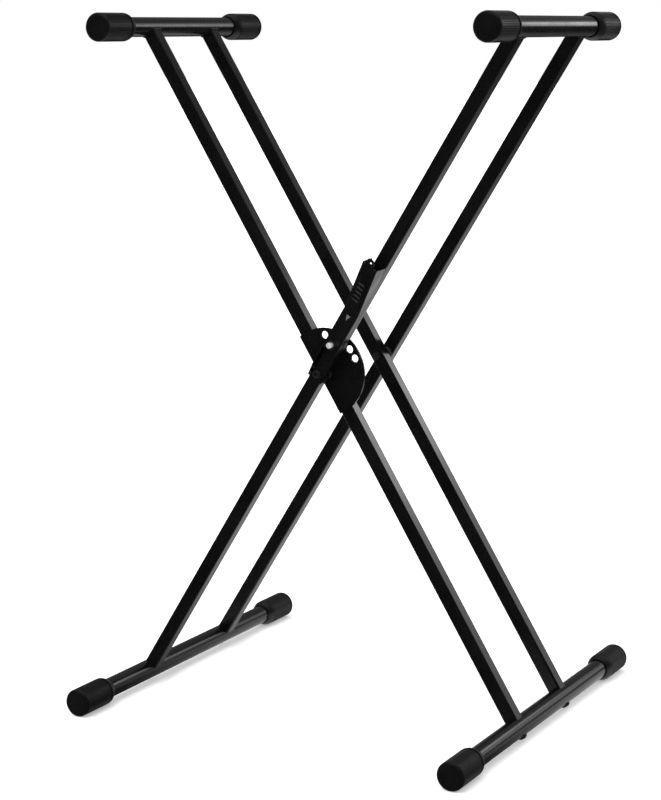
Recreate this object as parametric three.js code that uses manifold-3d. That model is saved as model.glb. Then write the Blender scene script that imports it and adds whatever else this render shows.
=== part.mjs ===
// Folding stand for a keyboard: two braced frames crossed as a double X, with a quick-release latch.
// Millimetres. X runs across the X of the legs, Y along the round bars and Z up from the floor.
// The latch is at the front, on the -Y side.
import * as THREE from 'three';
import { mergeVertices } from 'three/addons/utils/BufferGeometryUtils.js';
import Module from 'manifold-3d';

const wasm = await Module();
wasm.setup();

// Stance at the middle one of the five height settings
const barSpread = 295;          // bar axis to the centre line
const topBarHeight = 968;       // axis of the top bars
const footBarHeight = 20;       // axis of the foot bars
const pivotHeight = (topBarHeight + footBarHeight) / 2;
const halfAngle = Math.atan2(barSpread, pivotHeight - footBarHeight);
const legReach = Math.hypot(barSpread, pivotHeight - footBarHeight);   // pivot to bar axis

// Round bars and their rubber caps
const barRadius = 14;
const barWall = 1.6;
const topBarLength = 410;       // over the caps
const footBarLength = 580;
const capRadius = 20;           // over the flat facets
const capLength = 74;
const capEndWall = 4;
const capSides = 24;
const capEdge = 5.5;            // rounding of the closed end
const capTaper = 13;            // length of the tapered mouth
const capMouthRadius = 15.8;

// Square-tube legs
const tubeSide = 20;
const tubeWall = 1.5;
const tubeCorner = 2.5;
const innerLegY = 75.5;         // leg centre to the middle of the bars
const outerLegY = 101.5;

// Main pivots
const pivotShank = 3;
const pivotHeadRadius = 6.5;
const pivotHeadHeight = 4;
const sleeveRadius = 5;
const pivotWasherRadius = 6.5;
const pivotWasherThick = 1.4;
const pivotNutRadius = 5.6;     // across the corners, halved
const pivotNutHeight = 5;
const boltTail = 1.2;           // thread past the nut
const spacerRadius = 11;

// Round heads of the bolts: share of the height at the shoulder and at the crown's edge
const headShoulder = 0.35;
const headCrown = 0.85;
const headCrownRadius = 0.75;   // of the head's radius

// Foot bolts, screwed into plugs in the leg ends
const footShank = 3;
const footHeadRadius = 5.5;
const footHeadHeight = 2;
const saddleRadius = 7;
const saddleThick = 0.9;
const plugHeight = 18;
const plugCorner = 1.4;

// Sector plate and its five lock holes
const plateThick = 3;
const plateRadius = 62;
const lockRadius = 52;          // pivot to lock hole, and to the lock pin
const lockHoleRadius = 5.5;
const lockHoleCount = 5;
const lockHoleStep = THREE.MathUtils.degToRad(16.3);

// Latch lever: s runs up the leg from the pivot, d stands off the leg's front face
const sheetThick = 1.5;
const leverWidth = 25;
const hingeS = -3;
const hingeD = -7;
const earRadius = 8;
const leverRivetRadius = 2.5;
const rivetFlare = 1.2;         // set end, past the shank
const rivetSetHeight = 1;
const rivetHeadRadius = 4.3;
const rivetHeadHeight = 1.3;
const rivetHeadBevel = 0.4;
const armBack = 5.5;            // arms reach this far behind the leg's front face
const armBackStart = 15;        // s where the arm's back edge leaves the ear
const armFrontStart = 20;       // s where its front edge does
const webStart = 42;
const webD = 7;
const bendS = 109;
const leverTilt = THREE.MathUtils.degToRad(17.5);
const leverEndS = 187;
const endDepth = 25;            // depth of the side flanges at the upper end
const endSetBack = 6;           // their back corners, short of the end
const endCorner = 4;            // size of the corner cut off there
const lipTilt = THREE.MathUtils.degToRad(45);
const lipLength = 16;
const lipWidth = 15;
const lipHoleRadius = 2.2;
const gripRibs = 5;
const gripRibPitch = 8;
const gripRibHeight = 0.9;
const gripRibThick = 2.8;
const gripRibLength = 13.5;
const gripStart = 22;           // first rib, past the bend
const arrowStart = 14;          // arrow's point, before the bend
const arrowHalfWidth = 3.5;
const arrowLength = 8;

// Lock pin, its guide and its spring
const pinRadius = 4;
const pinTail = 17;             // past the leg's front face
const pinNoseClear = 0.5;       // to the plate's face
const collarRadius = 6.5;
const collarThick = 2;
const bushRadius = 6;
const bushFlangeRadius = 7.5;
const bushFlangeThick = 1.2;
const pinWasherRadius = 6.5;
const pinWasherThick = 1;
const clipRadius = 6;
const clipThick = 1;
const clipGrooveDepth = 0.9;
const clipMouth = 3.4;
const pinChamfer = 0.8;
const noseChamfer = 1;
const pinSlotClear = 0.4;       // round the pin in the lever's slot
const pinSlotTravel = 2.3;      // length the slot adds for the lever's swing
const pinWasherClear = 0.4;     // in front of the web
const springWire = 0.45;        // wire radius
const springTurns = 4;
const springRadius = 5.6;

const gap = 0.3;                // between pieces that touch
const roundSides = 24;
const holeSides = 16;

const paint = { color: 0x0d0d0e, roughness: 0.32, metalness: 0.1 };
const rubber = { color: 0x141414, roughness: 0.78, metalness: 0 };
const zinc = { color: 0xc9ccd0, roughness: 0.28, metalness: 0.95 };
const blackSteel = { color: 0x1b1b1d, roughness: 0.4, metalness: 0.8 };
const nylon = { color: 0x2a2a2b, roughness: 0.55, metalness: 0 };

// ---- solids ----

function toSolid(geometry) {
  const bare = geometry.index ? geometry.toNonIndexed() : geometry.clone();
  bare.deleteAttribute('normal');
  bare.deleteAttribute('uv');
  const merged = mergeVertices(bare, 1e-4);
  const faces = [];
  const index = merged.index.array;
  for (let i = 0; i < index.length; i += 3) {
    const [a, b, c] = index.slice(i, i + 3);
    if (a !== b && b !== c && c !== a) faces.push(a, b, c);
  }
  return new wasm.Manifold(new wasm.Mesh({
    numProp: 3,
    vertProperties: new Float32Array(merged.attributes.position.array),
    triVerts: new Uint32Array(faces),
  }));
}

function toGeometry(solid) {
  const mesh = solid.getMesh();
  const geometry = new THREE.BufferGeometry();
  geometry.setAttribute('position', new THREE.BufferAttribute(mesh.vertProperties, 3));
  geometry.setIndex(new THREE.BufferAttribute(mesh.triVerts, 1));
  return geometry;
}

function cut(solid, ...tools) {
  return tools.reduce((rest, tool) => rest.subtract(tool), solid);
}

function join(...solids) {
  return solids.reduce((whole, solid) => whole.add(solid));
}

// A cutter is drawn with its flats on the radius, so that no part of the hole is tighter than that.
function drill(radius, length, sides = holeSides) {
  const outer = radius / Math.cos(Math.PI / sides);
  return new THREE.CylinderGeometry(outer, outer, length, sides);
}

function drillAlongX(radius, length, x, y, z) {
  return toSolid(drill(radius, length).rotateZ(Math.PI / 2).translate(x, y, z));
}

function drillAlongY(radius, length, x, y, z, sides = holeSides) {
  return toSolid(drill(radius, length, sides).translate(x, y, z));
}

function drillAlongZ(radius, length, x, y, z) {
  return toSolid(drill(radius, length).rotateX(Math.PI / 2).translate(x, y, z));
}

// A turned piece about the Y axis, from [radius, y] points that start and end on the axis or close.
function turned(points, sides = roundSides) {
  const profile = points.map(([radius, y]) => new THREE.Vector2(radius, y));
  return new THREE.LatheGeometry(profile, sides, Math.PI / sides);
}

// A ring about the Y axis between two y values.
function ring(innerRadius, outerRadius, yLow, yHigh, sides = roundSides) {
  const inner = innerRadius / Math.cos(Math.PI / sides);
  const points = [[inner, yLow], [outerRadius, yLow], [outerRadius, yHigh], [inner, yHigh], [inner, yLow]];
  return turned(points, sides);
}

function roundedSquare(side, radius) {
  const half = side / 2;
  const flat = half - radius;
  const shape = new THREE.Shape();
  shape.moveTo(half, -flat);
  shape.lineTo(half, flat);
  shape.absarc(flat, flat, radius, 0, Math.PI / 2);
  shape.absarc(-flat, flat, radius, Math.PI / 2, Math.PI);
  shape.absarc(-flat, -flat, radius, Math.PI, Math.PI * 1.5);
  shape.absarc(flat, -flat, radius, Math.PI * 1.5, Math.PI * 2);
  return shape;
}

function circlePath(x, y, radius) {
  const path = new THREE.Path();
  path.absarc(x, y, radius, 0, Math.PI * 2, true);
  return path;
}

function extruded(shape, depth, curveSegments) {
  return new THREE.ExtrudeGeometry(shape, { depth, bevelEnabled: false, curveSegments });
}

// A side view drawn as (y, z) and given a thickness along X, centred on x.
function acrossX(shape, width, x = 0, curveSegments = 8) {
  const turn = new THREE.Matrix4().makeBasis(
    new THREE.Vector3(0, 1, 0), new THREE.Vector3(0, 0, 1), new THREE.Vector3(1, 0, 0));
  return toSolid(extruded(shape, width, curveSegments).applyMatrix4(turn).translate(x - width / 2, 0, 0));
}

// A front view drawn as (x, z) and given a depth along Y, from yBack towards -Y.
function towardsFront(shape, depth, yBack, curveSegments = 8) {
  return toSolid(extruded(shape, depth, curveSegments).rotateX(Math.PI / 2).translate(0, yBack, 0));
}

function polygon(points) {
  return new THREE.Shape(points.map(([x, y]) => new THREE.Vector2(x, y)));
}

// ---- assembly ----

const stand = new THREE.Group();
const innerFrame = new THREE.Group();   // upper left to lower right
const outerFrame = new THREE.Group();   // upper right to lower left
innerFrame.position.z = pivotHeight;
outerFrame.position.z = pivotHeight;
innerFrame.rotation.y = -halfAngle;
outerFrame.rotation.y = halfAngle;
stand.add(innerFrame, outerFrame);

function place(group, name, shape, finish, position = [0, 0, 0]) {
  const geometry = shape.isBufferGeometry ? shape : toGeometry(shape);
  const flatGeometry = geometry.index ? geometry.toNonIndexed() : geometry;
  flatGeometry.computeVertexNormals();
  const mesh = new THREE.Mesh(flatGeometry, new THREE.MeshStandardMaterial(finish));
  mesh.name = name;
  mesh.position.set(...position);
  group.add(mesh);
  return mesh;
}

// A bar is a tube that stops short of the caps' end walls; a foot bar is drilled for its two bolts.
function bar(length, boltYs = []) {
  const half = length / 2 - capEndWall - gap;
  const tube = toSolid(ring(barRadius - barWall, barRadius, -half, half));
  const holes = boltYs.map((y) => drillAlongZ(footShank + gap, 4 * barRadius, 0, y, 0));
  return cut(tube, ...holes);
}

// A cap is drawn with its mouth at y = 0 and its closed end at +Y.
function cap() {
  const facet = 1 / Math.cos(Math.PI / capSides);
  const corner = capRadius - capEdge;
  const edgePoints = [1, 0.5, 0].map((t) => {
    const angle = t * Math.PI / 2;
    return [corner + capEdge * Math.cos(angle), capLength - capEdge + capEdge * Math.sin(angle)];
  });
  const taperPoints = [[1, 1], [0.9, 0.45], [0, 0]].map(([rise, along]) =>
    [capMouthRadius + rise * (capRadius - capMouthRadius), along * capTaper]);
  const boreRadius = barRadius + gap;
  const boreEnd = capLength - capEndWall;
  const outline = [
    [0, boreEnd], [boreRadius, boreEnd], [boreRadius, 0],
    ...taperPoints.reverse(), ...edgePoints.reverse(), [0, capLength],
  ];
  return turned(outline.map(([radius, y]) => [radius * facet, y]), capSides);
}

// Caps keep one facet level, so they stand square on the floor and carry the keyboard on top.
function placeCaps(group, barName, barZ, length) {
  for (const [end, side] of ends) {
    const mesh = place(group, `${barName}_cap_${end}`, cap(), rubber);
    mesh.position.set(0, side * (length / 2 - capLength), barZ);
    mesh.rotation.set(side < 0 ? Math.PI : 0, (side < 0 ? 1 : -1) * group.rotation.y, 0);
  }
}

function legTube(y) {
  const shape = roundedSquare(tubeSide, tubeCorner);
  shape.holes.push(new THREE.Path(
    roundedSquare(tubeSide - 2 * tubeWall, tubeCorner - tubeWall).getPoints(2).reverse()));
  const blank = toSolid(extruded(shape, 2 * legReach, 3).translate(0, y, -legReach));
  const copes = [-legReach, legReach].map((z) =>
    drillAlongY(barRadius + gap, 2 * tubeSide, 0, y, z, roundSides));
  return cut(blank, ...copes);
}

function innerLeg(y) {
  return cut(legTube(y), drillAlongY(sleeveRadius + gap, 2 * tubeSide, 0, y, 0));
}

function outerLeg(y) {
  return cut(legTube(y), drillAlongY(pivotShank + gap, 2 * tubeSide, 0, y, 0));
}

const frontY = -outerLegY - tubeSide / 2;                  // front face of the front outer leg
const backY = frontY + tubeSide;                           // its back face
const plateFrontY = -innerLegY - tubeSide / 2 - gap - plateThick;

// The latch side of the outer frame: holes for the pin, its bush and the lever's two rivets.
function latchLeg() {
  const leg = outerLeg(-outerLegY);
  const pinHole = drillAlongY(pinRadius + gap, 2 * tubeWall, 0, frontY + tubeWall, lockRadius);
  const bushHole = drillAlongY(bushRadius + gap, 2 * tubeWall, 0, backY - tubeWall, lockRadius);
  const rivetHoles = drillAlongX(leverRivetRadius + gap, 2 * tubeSide, 0, frontY - hingeD, hingeS);
  return cut(leg, pinHole, bushHole, rivetHoles);
}

// The plate is a disc about the pivot, cut off flush with the leg's outer side.
function lockPlate() {
  const chordX = -tubeSide / 2;
  const chordAngle = Math.acos(chordX / plateRadius);
  const shape = new THREE.Shape();
  shape.absarc(0, 0, plateRadius, -chordAngle, chordAngle);
  shape.closePath();
  shape.holes.push(circlePath(0, 0, sleeveRadius + gap));
  for (let k = 0; k < lockHoleCount; k += 1) {
    const angle = 2 * halfAngle + (k - (lockHoleCount - 1) / 2) * lockHoleStep;
    const x = lockRadius * Math.sin(angle);
    const z = lockRadius * Math.cos(angle);
    shape.holes.push(circlePath(x, z, lockHoleRadius));
  }
  return towardsFront(shape, plateThick, plateFrontY + plateThick, 10);
}

// ---- main pivots ----

function roundHead(radius, height, base) {
  return [
    [radius, base], [radius, base + height * headShoulder],
    [radius * headCrownRadius, base + height * headCrown], [0, base + height],
  ];
}

// Pieces of one pivot, drawn for the rear (+Y) side; the front is the same turned round.
function pivotBolt() {
  const headY = outerLegY + tubeSide / 2 + gap;
  const tailY = innerLegY - tubeSide / 2 - 3 * gap - pivotWasherThick - pivotNutHeight - boltTail;
  return turned([
    [0, tailY], [pivotShank, tailY], [pivotShank, headY],
    ...roundHead(pivotHeadRadius, pivotHeadHeight, headY),
  ]);
}

function pivotSleeve(outerEnd) {
  return ring(pivotShank + gap, sleeveRadius, innerLegY - tubeSide / 2, outerEnd);
}

function pivotWasher() {
  const high = innerLegY - tubeSide / 2 - gap;
  return ring(pivotShank + gap, pivotWasherRadius, high - pivotWasherThick, high);
}

function pivotNut() {
  const high = innerLegY - tubeSide / 2 - 2 * gap - pivotWasherThick;
  const body = toSolid(new THREE.CylinderGeometry(pivotNutRadius, pivotNutRadius, pivotNutHeight, 6)
    .translate(0, high - pivotNutHeight / 2, 0));
  return cut(body, drillAlongY(pivotShank + gap, 4 * pivotNutHeight, 0, high, 0));
}

function pivotSpacer(low) {
  return ring(pivotShank + gap, spacerRadius, low + gap, outerLegY - tubeSide / 2 - gap);
}

function placePivot(end, side) {
  const turn = side < 0 ? Math.PI : 0;
  const legFace = side < 0 ? -plateFrontY : innerLegY + tubeSide / 2;
  const pieces = [
    [outerFrame, `pivot_bolt_${end}`, pivotBolt(), blackSteel],
    [outerFrame, `pivot_nut_${end}`, pivotNut(), blackSteel],
    [outerFrame, `pivot_washer_${end}`, pivotWasher(), blackSteel],
    [outerFrame, `pivot_spacer_${end}`, pivotSpacer(legFace), nylon],
    [innerFrame, `pivot_sleeve_${end}`, pivotSleeve(legFace), zinc],
  ];
  for (const [group, name, shape, finish] of pieces) place(group, name, shape, finish).rotation.x = turn;
}

// ---- foot joints: a bolt from below, through the bar and into a plug in the leg ----

function footBolt() {
  const headTop = -barRadius - saddleThick - 2 * gap;
  const tip = barRadius + plugHeight;
  return turned([
    [0, tip], [footShank, tip], [footShank, headTop],
    ...roundHead(footHeadRadius, -footHeadHeight, headTop),
  ].reverse()).rotateX(Math.PI / 2);
}

function footSaddle() {
  const height = barRadius + gap + saddleThick;
  const block = toSolid(new THREE.CylinderGeometry(saddleRadius, saddleRadius, height, roundSides)
    .rotateX(Math.PI / 2).translate(0, 0, -height / 2));
  const bed = drillAlongY(barRadius + gap, 4 * saddleRadius, 0, 0, 0, roundSides);
  return cut(block, bed, drillAlongZ(footShank + gap, 4 * height, 0, 0, 0));
}

function footPlug() {
  const side = tubeSide - 2 * tubeWall - 2 * gap;
  const block = toSolid(extruded(roundedSquare(side, plugCorner), plugHeight, 2));
  return cut(block, drillAlongZ(footShank + gap, 4 * plugHeight, 0, 0, 0))
    .translate([0, 0, barRadius + 2 * gap]);
}

function placeFootJoint(group, side, end, y) {
  const position = [0, y, -legReach];
  place(group, `foot_bolt_${side}_${end}`, footBolt(), blackSteel, position);
  place(group, `foot_saddle_${side}_${end}`, footSaddle(), blackSteel, position);
  place(group, `foot_plug_${side}_${end}`, footPlug(), zinc, position);
}

// ---- latch lever ----

// Point on the lever's front surface, moved in by depth along the sheet's normal.
function leverFront(s, depth = 0) {
  const past = Math.max(0, s - bendS);
  const tilt = past > 0 ? leverTilt : 0;
  const d = webD + past * Math.tan(leverTilt);
  return [frontY - d + depth * Math.cos(tilt), s + depth * Math.sin(tilt)];
}

function arcPoints(centreY, centreZ, radius, from, to, steps) {
  return Array.from({ length: steps + 1 }, (_, i) => {
    const angle = from + (to - from) * i / steps;
    return [centreY + radius * Math.cos(angle), centreZ + radius * Math.sin(angle)];
  });
}

// Side flange: round ear about the hinge, then a strip that widens up to the handle's end.
function leverFlange(x) {
  const earY = frontY - hingeD;
  const armBackY = frontY + armBack;
  const shape = polygon([
    ...arcPoints(earY, hingeS, earRadius, -Math.PI, 0.2 * Math.PI, 12),
    [armBackY, armBackStart],
    [armBackY, bendS],
    leverFront(leverEndS - endSetBack, endDepth),
    leverFront(leverEndS, endDepth - endCorner),
    leverFront(leverEndS),
    leverFront(bendS),
    leverFront(armFrontStart),
  ]);
  return acrossX(shape, sheetThick, x);
}

// Web between the flanges, from just below the lock pin up to the handle's end.
function leverWeb() {
  const shape = polygon([
    leverFront(webStart), leverFront(webStart, sheetThick), leverFront(bendS, sheetThick),
    leverFront(leverEndS, sheetThick), leverFront(leverEndS), leverFront(bendS),
  ]);
  const slot = new THREE.Shape();
  slot.absarc(0, lockRadius, pinRadius + pinSlotClear, Math.PI, Math.PI * 2);
  slot.absarc(0, lockRadius + pinSlotTravel, pinRadius + pinSlotClear, 0, Math.PI);
  return cut(acrossX(shape, leverWidth), towardsFront(slot, 4 * webD, frontY + webD));
}

// Finger lip: a round-ended tongue at the handle's end, bent out from the leg, with a small hole.
function leverLip() {
  const half = lipWidth / 2;
  const shape = new THREE.Shape();
  shape.moveTo(-half, -sheetThick);
  shape.lineTo(half, -sheetThick);
  shape.lineTo(half, lipLength - half);
  shape.absarc(0, lipLength - half, half, 0, Math.PI);
  shape.holes.push(circlePath(0, lipLength - half, lipHoleRadius));
  const [y, z] = leverFront(leverEndS - sheetThick);
  return towardsFront(shape, sheetThick, sheetThick)
    .rotate([THREE.MathUtils.radToDeg(lipTilt), 0, 0])
    .translate([0, y, z]);
}

// Raised ribs across the handle and an arrow head below them, pointing at the lock pin.
function leverRelief() {
  const tilt = THREE.MathUtils.radToDeg(leverTilt);
  const ribs = Array.from({ length: gripRibs }, (_, i) => {
    const [y, z] = leverFront(bendS + gripStart + i * gripRibPitch);
    return toSolid(new THREE.BoxGeometry(gripRibLength, 2 * gripRibHeight, gripRibThick))
      .rotate([tilt, 0, 0])
      .translate([0, y, z]);
  });
  const arrow = polygon([[-arrowHalfWidth, arrowLength], [0, 0], [arrowHalfWidth, arrowLength]]);
  const [arrowY, arrowZ] = leverFront(bendS - arrowStart);
  const head = towardsFront(arrow, 2 * gripRibHeight, gripRibHeight).translate([0, arrowY, arrowZ]);
  return join(...ribs, head);
}

function latchLever() {
  const flangeX = leverWidth / 2 - sheetThick / 2;
  const body = join(leverWeb(), leverFlange(-flangeX), leverFlange(flangeX), leverLip(), leverRelief());
  return cut(body, drillAlongX(leverRivetRadius + gap, 2 * leverWidth, 0, frontY - hingeD, hingeS));
}

// Rivet through one flange and one side wall of the leg, with a head outside and one inside.
function leverRivet() {
  const inside = tubeSide / 2 - tubeWall - gap;
  const outside = leverWidth / 2 + gap;
  const shank = leverRivetRadius;
  return turned([
    [0, inside - rivetSetHeight], [shank + rivetFlare, inside - rivetSetHeight],
    [shank + rivetFlare, inside], [shank, inside], [shank, outside], [rivetHeadRadius, outside],
    [rivetHeadRadius - rivetHeadBevel, outside + rivetHeadHeight - rivetHeadBevel],
    [0, outside + rivetHeadHeight],
  ], holeSides).rotateZ(-Math.PI / 2);
}

// ---- lock pin ----

const bushFrontY = backY - tubeWall - gap - bushFlangeThick;
const collarBackY = bushFrontY - gap;
const washerBackY = frontY - webD - pinWasherClear;
const clipBackY = washerBackY - pinWasherThick - gap;

function lockPin() {
  const tail = frontY - pinTail;
  const nose = plateFrontY - pinNoseClear;
  const groove = pinRadius - clipGrooveDepth;
  const clipFrontY = clipBackY - clipThick;
  return turned([
    [0, tail], [pinRadius - pinChamfer, tail], [pinRadius, tail + pinChamfer],
    [pinRadius, clipFrontY - gap / 2], [groove, clipFrontY - gap / 2],
    [groove, clipBackY + gap / 2], [pinRadius, clipBackY + gap / 2],
    [pinRadius, collarBackY - collarThick], [collarRadius, collarBackY - collarThick],
    [collarRadius, collarBackY], [pinRadius, collarBackY],
    [pinRadius, nose - noseChamfer], [pinRadius - noseChamfer, nose], [0, nose],
  ]);
}

function pinClip() {
  const boreRadius = pinRadius - clipGrooveDepth + gap;
  const disc = toSolid(ring(boreRadius, clipRadius, clipBackY - clipThick, clipBackY));
  const mouth = toSolid(new THREE.BoxGeometry(clipRadius, 4 * clipThick, clipMouth)
    .translate(-clipRadius, clipBackY, 0));
  return cut(disc, mouth);
}

function pinBush() {
  const bore = (pinRadius + gap) / Math.cos(Math.PI / roundSides);
  return turned([
    [bore, bushFrontY], [bushFlangeRadius, bushFrontY], [bushFlangeRadius, bushFrontY + bushFlangeThick],
    [bushRadius, bushFrontY + bushFlangeThick], [bushRadius, backY], [bore, backY], [bore, bushFrontY],
  ]);
}

class Coil extends THREE.Curve {
  constructor(low, high) {
    super();
    this.low = low;
    this.high = high;
  }

  getPoint(t, target = new THREE.Vector3()) {
    const angle = t * springTurns * Math.PI * 2;
    const y = this.low + t * (this.high - this.low);
    return target.set(springRadius * Math.cos(angle), y, springRadius * Math.sin(angle));
  }
}

function lockSpring() {
  const low = frontY + tubeWall + gap + springWire;
  const high = collarBackY - collarThick - gap - springWire;
  const wire = new THREE.Shape();
  wire.absarc(0, 0, springWire, 0, Math.PI * 2);
  return new THREE.ExtrudeGeometry(wire, {
    steps: 14 * springTurns,
    curveSegments: 3,
    bevelEnabled: false,
    extrudePath: new Coil(low, high),
  });
}

// ---- build the frames ----

const ends = [['front', -1], ['rear', 1]];

place(innerFrame, 'top_bar_left', bar(topBarLength), paint, [0, 0, legReach]);
place(innerFrame, 'foot_bar_right', bar(footBarLength, [-innerLegY, innerLegY]), paint, [0, 0, -legReach]);
place(outerFrame, 'top_bar_right', bar(topBarLength), paint, [0, 0, legReach]);
place(outerFrame, 'foot_bar_left', bar(footBarLength, [-outerLegY, outerLegY]), paint, [0, 0, -legReach]);
placeCaps(innerFrame, 'top_bar_left', legReach, topBarLength);
placeCaps(innerFrame, 'foot_bar_right', -legReach, footBarLength);
placeCaps(outerFrame, 'top_bar_right', legReach, topBarLength);
placeCaps(outerFrame, 'foot_bar_left', -legReach, footBarLength);

place(innerFrame, 'inner_leg_front', innerLeg(-innerLegY), paint);
place(innerFrame, 'inner_leg_rear', innerLeg(innerLegY), paint);
place(outerFrame, 'outer_leg_front', latchLeg(), paint);
place(outerFrame, 'outer_leg_rear', outerLeg(outerLegY), paint);
place(innerFrame, 'lock_plate', lockPlate(), paint);

for (const [end, side] of ends) {
  placePivot(end, side);
  placeFootJoint(innerFrame, 'right', end, side * innerLegY);
  placeFootJoint(outerFrame, 'left', end, side * outerLegY);
}

place(outerFrame, 'latch_lever', latchLever(), paint);
place(outerFrame, 'lever_rivet_right', leverRivet(), blackSteel, [0, frontY - hingeD, hingeS]);
place(outerFrame, 'lever_rivet_left', leverRivet().rotateZ(Math.PI), blackSteel,
  [0, frontY - hingeD, hingeS]);
place(outerFrame, 'lock_pin', lockPin(), zinc, [0, 0, lockRadius]);
place(outerFrame, 'pin_washer', ring(pinRadius + gap, pinWasherRadius, washerBackY - pinWasherThick,
  washerBackY), blackSteel, [0, 0, lockRadius]);
place(outerFrame, 'pin_clip', pinClip(), blackSteel, [0, 0, lockRadius]);
place(outerFrame, 'pin_bush', pinBush(), blackSteel, [0, 0, lockRadius]);
place(outerFrame, 'lock_spring', lockSpring(), zinc, [0, 0, lockRadius]);

export default stand;
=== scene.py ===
# Looks of a folding double-X keyboard stand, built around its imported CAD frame.
# Metres; X across the legs, Y along the round bars, Z up. The latch is at -Y.
from math import atan2, cos, hypot, pi, radians, sin, tan

import bpy
from mathutils import Matrix, Vector


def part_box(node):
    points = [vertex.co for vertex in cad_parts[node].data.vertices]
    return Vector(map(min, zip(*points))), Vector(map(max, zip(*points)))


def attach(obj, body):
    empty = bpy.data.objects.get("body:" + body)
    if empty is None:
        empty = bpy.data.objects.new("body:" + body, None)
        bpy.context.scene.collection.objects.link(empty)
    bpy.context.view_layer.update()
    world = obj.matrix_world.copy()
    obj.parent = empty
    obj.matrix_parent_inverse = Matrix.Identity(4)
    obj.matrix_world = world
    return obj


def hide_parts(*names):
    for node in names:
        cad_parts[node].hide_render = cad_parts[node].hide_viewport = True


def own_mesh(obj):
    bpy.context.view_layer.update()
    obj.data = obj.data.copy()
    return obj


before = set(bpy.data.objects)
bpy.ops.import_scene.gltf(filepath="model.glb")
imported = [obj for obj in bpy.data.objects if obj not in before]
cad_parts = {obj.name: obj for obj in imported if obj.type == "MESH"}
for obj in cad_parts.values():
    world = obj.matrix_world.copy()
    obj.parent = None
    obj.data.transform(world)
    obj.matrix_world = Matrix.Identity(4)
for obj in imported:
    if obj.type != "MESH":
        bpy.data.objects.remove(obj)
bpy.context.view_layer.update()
mm = 0.001


cameraView = {
    "azimuth": radians(29.33),
    "elevation": radians(10.43),
    "roll": radians(-0.11),
    "aim": (-0.0418, 0.0, 0.4413),
    "distance": 2.915,
    "lens": 90.5,
    "sensor": 36.0,
    "shift": (0.0004, -0.0048),
    "clip": (0.05, 60.0),
}


def addCamera(settings):
    azimuth, elevation = settings["azimuth"], settings["elevation"]
    away = Vector((sin(azimuth) * cos(elevation), -cos(azimuth) * cos(elevation), sin(elevation)))
    place = Vector(settings["aim"]) + away * settings["distance"]
    bpy.ops.object.camera_add(location=place)
    camera = bpy.context.object
    camera.name = "studio_camera"
    turn = (-away).to_track_quat("-Z", "Y").to_matrix() @ Matrix.Rotation(settings["roll"], 3, "Z")
    camera.rotation_euler = turn.to_euler()
    camera.data.lens = settings["lens"]
    camera.data.sensor_width = settings["sensor"]
    camera.data.shift_x, camera.data.shift_y = settings["shift"]
    camera.data.clip_start, camera.data.clip_end = settings["clip"]
    bpy.context.scene.camera = camera


addCamera(cameraView)
print("camera ready")


def boxCentre(node):
    low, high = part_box(node)
    return (low + high) / 2


def boxSize(node):
    low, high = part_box(node)
    return high - low


topRight = boxCentre("top_bar_right")
footLeft = boxCentre("foot_bar_left")
pivot = (topRight + footLeft) / 2
halfAngle = atan2(topRight.x - footLeft.x, topRight.z - footLeft.z)
legReach = (topRight - footLeft).length / 2
barRadius = 14 * mm
tubeSide = 20 * mm
innerY = abs(boxCentre("inner_leg_front").y)
outerY = abs(boxCentre("outer_leg_front").y)
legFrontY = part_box("outer_leg_front")[0].y     # front face of the leg that carries the latch
lockRadius = 52 * mm                           # pivot to the lock pin and the lock holes
weldDistance = 1e-6                            # points closer than this are merged
gap = 0.05 * mm                                # clearance where a piece is shaped round a bar


def freshStart():
    if bpy.context.object and bpy.context.object.mode != "OBJECT":
        bpy.ops.object.mode_set(mode="OBJECT")
    bpy.ops.object.select_all(action="DESELECT")


def pick(piece):
    freshStart()
    piece.select_set(True)
    bpy.context.view_layer.objects.active = piece
    return piece


def bake():
    bpy.ops.object.transform_apply(location=True, rotation=True, scale=True)


def discard(piece):
    bpy.data.objects.remove(piece, do_unlink=True)


def modify(piece, kind, **settings):
    pick(piece)
    bpy.ops.object.modifier_add(type=kind)
    modifier = piece.modifiers[-1]
    for key, value in settings.items():
        setattr(modifier, key, value)
    bpy.ops.object.modifier_apply(modifier=modifier.name)
    return piece


# Cuts a tool from a piece, or joins or intersects the two, and throws the tool away.
def boolean(piece, tool, operation="DIFFERENCE"):
    modify(piece, "BOOLEAN", object=tool, operation=operation, solver="EXACT")
    discard(tool)
    return piece


def softenEdges(piece, width, segments=2, angle=30):
    return modify(piece, "BEVEL", width=width, segments=segments, limit_method="ANGLE",
                  angle_limit=radians(angle), miter_outer="MITER_ARC")


# Smooth shading up to an angle, weighted so that flat faces next to a small bevel stay flat.
def smooth(piece, angle=30):
    pick(piece)
    bpy.ops.object.shade_smooth_by_angle(angle=radians(angle))
    return modify(piece, "WEIGHTED_NORMAL", keep_sharp=True, weight=100)


def cleanMesh(piece):
    pick(piece)
    bpy.ops.object.mode_set(mode="EDIT")
    bpy.ops.mesh.select_all(action="SELECT")
    bpy.ops.mesh.remove_doubles(threshold=weldDistance)
    bpy.ops.mesh.normals_make_consistent(inside=False)
    bpy.ops.object.mode_set(mode="OBJECT")
    return piece


# Edit mode with nothing selected, in vertex, edge or face mode, then back to choose in code.
def clearSelection(kind):
    bpy.ops.object.mode_set(mode="EDIT")
    bpy.ops.mesh.select_mode(type=kind)
    bpy.ops.mesh.select_all(action="DESELECT")
    bpy.ops.object.mode_set(mode="OBJECT")


def selectVertices(piece, test):
    clearSelection("VERT")
    for vertex in piece.data.vertices:
        vertex.select = test(vertex.co)
    bpy.ops.object.mode_set(mode="EDIT")


# Selects the edges whose two ends pass a test together.
def selectEdges(piece, test):
    clearSelection("EDGE")
    for edge in piece.data.edges:
        first, last = (piece.data.vertices[i].co for i in edge.vertices)
        edge.select = test(first, last)
    bpy.ops.object.mode_set(mode="EDIT")


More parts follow.
